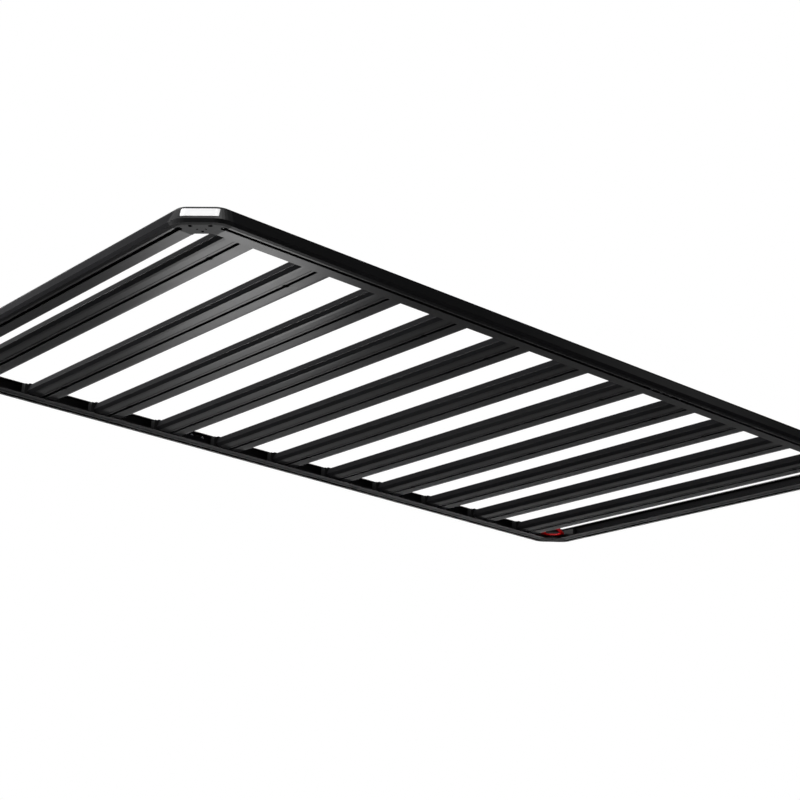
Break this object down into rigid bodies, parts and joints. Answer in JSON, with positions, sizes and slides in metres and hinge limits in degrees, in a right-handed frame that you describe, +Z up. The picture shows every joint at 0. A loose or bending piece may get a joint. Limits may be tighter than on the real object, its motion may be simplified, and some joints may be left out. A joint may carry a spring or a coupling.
{
  "type": "flat platform roof rack",
  "caption": "Flat platform roof rack: slotted aluminium slats across an extruded frame with cast cut corners, bare face plates and a red bottle opener ring in one corner.",
  "frame": {"origin": "middle of the rack in plan, on the plane of the frame's lower face", "axes": "+Z up, as the rack lies on a roof; Y along its length with the front at -Y; X across, with +X at the right"},
  "size_m": [1.312, 2.353, 0.04],
  "materials": {
    "slat_metal": "satin black powder coat on extruded aluminium",
    "rail_metal": "satin black powder coat on extruded aluminium",
    "corner_metal": "fine-textured black powder coat on cast aluminium",
    "plate_plastic": "bare white plate",
    "block_plastic": "black moulded plastic",
    "bar_metal": "black anodised",
    "screw_steel": "stainless",
    "opener_red": "red powder coat on steel",
    "screw_black": "black oxide"
  },
  "bodies": {
    "root": {"slat_01": "slat_metal", "slat_02": "slat_metal", "slat_03": "slat_metal", "slat_04": "slat_metal", "slat_05": "slat_metal", "slat_06": "slat_metal", "slat_07": "slat_metal", "slat_08": "slat_metal", "slat_09": "slat_metal", "slat_10": "slat_metal", "slat_11": "slat_metal", "side_rail_right_front": "rail_metal", "side_rail_right_rear": "rail_metal", "side_rail_left_front": "rail_metal", "side_rail_left_rear": "rail_metal", "end_rail_front": "rail_metal", "end_rail_rear": "rail_metal", "corner_front_right": "corner_metal", "corner_rear_right": "corner_metal", "corner_front_left": "corner_metal", "corner_rear_left": "corner_metal", "plate_front_right": "plate_plastic", "plate_rear_right": "plate_plastic", "plate_front_left": "plate_plastic", "plate_rear_left": "plate_plastic", "end_blocks_right": "block_plastic", "end_blocks_left": "block_plastic", "splice_bar_right": "bar_metal", "splice_bar_left": "bar_metal", "splice_screws_right": "screw_steel", "splice_screws_left": "screw_steel", "bottle_opener": "opener_red", "opener_screws": "screw_black"}
  },
  "joints": []
}
